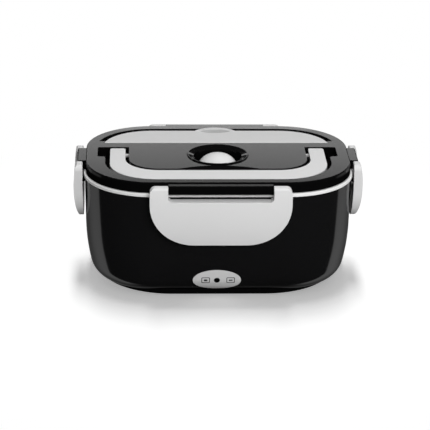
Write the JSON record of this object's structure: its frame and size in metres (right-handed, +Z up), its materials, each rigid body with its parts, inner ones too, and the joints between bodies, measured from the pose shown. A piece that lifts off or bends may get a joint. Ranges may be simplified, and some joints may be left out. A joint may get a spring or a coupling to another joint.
{
  "type": "electric lunch box",
  "caption": "Oval heated lunch box: tapered body, lift-off lid with clip latches, folding carry handle, vent plug, spoon compartment under a hinged cover, and loose food trays.",
  "frame": {"origin": "centre of the whole box's plan, on the table that the rubber feet stand on", "axes": "+X along the long side, to the right as seen from the front; +Y to the back, away from the indicator plate; +Z up"},
  "size_m": [0.2358, 0.1688, 0.1023],
  "materials": {
    "shell_black": "polished",
    "lid_black": "polished",
    "base_black": "fine texture",
    "foot_rubber": "matt",
    "screw_steel": "zinc plated",
    "plate_steel": "satin",
    "spoon_steel": "polished",
    "pin_steel": "bright",
    "body_white": "satin",
    "trim_white": "satin",
    "tray_white": "satin, slightly translucent",
    "silicone": "soft, translucent",
    "ceramic": "ceramic, matt",
    "inlet_black": "fine texture",
    "wire_red": "silicone sleeve",
    "wire_white": "silicone sleeve",
    "plate_silver": "satin grey",
    "lens_dark": "polished, tinted",
    "lamp_red": "tinted epoxy",
    "board_green": "solder mask"
  },
  "bodies": {
    "base": {"outer_shell": "shell_black", "bottom_cover": "base_black", "rubber_feet": "foot_rubber", "cover_screws": "screw_steel", "inner_liner": "body_white", "heater_plate": "plate_steel", "plate_gasket": "silicone", "plate_nuts": "screw_steel", "ptc_heaters": "ceramic", "heater_clamp": "plate_steel", "thermal_fuse": "ceramic", "thermostat": "inlet_black", "heater_leads": "wire_red", "lamp_leads": "wire_white", "mains_inlet": "inlet_black", "inlet_pins": "pin_steel", "indicator_plate": "plate_silver", "lamp_lens": "lens_dark", "lamp": "lamp_red", "lamp_board": "board_green"},
    "lid": {"lid_shell": "lid_black", "inner_lid": "body_white", "lid_seal": "silicone", "spoon": "spoon_steel"},
    "food_tray": {"food_tray": "tray_white"},
    "side_tray": {"side_tray": "tray_white"},
    "vent_plug": {"vent_plug": "trim_white"},
    "carry_handle": {"carry_handle": "trim_white"},
    "spoon_cover": {"spoon_cover": "trim_white"},
    "latch_front": {"latch_front": "trim_white"},
    "latch_rear": {"latch_rear": "trim_white"},
    "latch_left": {"latch_left": "trim_white"},
    "latch_right": {"latch_right": "trim_white"}
  },
  "joints": [
    {"name": "lid_lift", "type": "slide", "parent": "base", "child": "lid", "axis": [0, 0, 1], "range_m": [0, 0.24]},
    {"name": "food_tray_lift", "type": "slide", "parent": "base", "child": "food_tray", "axis": [0, 0, 1], "range_m": [0, 0.09]},
    {"name": "side_tray_lift", "type": "slide", "parent": "base", "child": "side_tray", "axis": [0, 0, 1], "range_m": [0, 0.16]},
    {"name": "vent_plug_lift", "type": "slide", "parent": "lid", "child": "vent_plug", "axis": [0, 0, 1], "range_m": [0, 0.004]},
    {"name": "carry_handle_swing", "type": "hinge", "parent": "lid", "child": "carry_handle", "pos_m": [0, 0.0065, 0.0966], "axis": [-1, 0, 0], "range_deg": [0, 90]},
    {"name": "spoon_cover_hinge", "type": "hinge", "parent": "lid", "child": "spoon_cover", "pos_m": [0, 0.0283, 0.0997], "axis": [1, 0, 0], "range_deg": [0, 95]},
    {"name": "latch_front_hinge", "type": "hinge", "parent": "lid", "child": "latch_front", "pos_m": [0, -0.0771, 0.097], "axis": [-1, 0, 0], "range_deg": [0, 105]},
    {"name": "latch_rear_hinge", "type": "hinge", "parent": "lid", "child": "latch_rear", "pos_m": [0, 0.0771, 0.097], "axis": [1, 0, 0], "range_deg": [0, 105]},
    {"name": "latch_left_hinge", "type": "hinge", "parent": "lid", "child": "latch_left", "pos_m": [-0.1124, 0, 0.097], "axis": [0, 1, 0], "range_deg": [0, 105]},
    {"name": "latch_right_hinge", "type": "hinge", "parent": "lid", "child": "latch_right", "pos_m": [0.1124, 0, 0.097], "axis": [0, -1, 0], "range_deg": [0, 105]}
  ],
  "couplings": [
    {"joint": "food_tray_lift", "follows": "lid_lift", "ratio": 0.375},
    {"joint": "side_tray_lift", "follows": "lid_lift", "ratio": 0.6666}
  ]
}
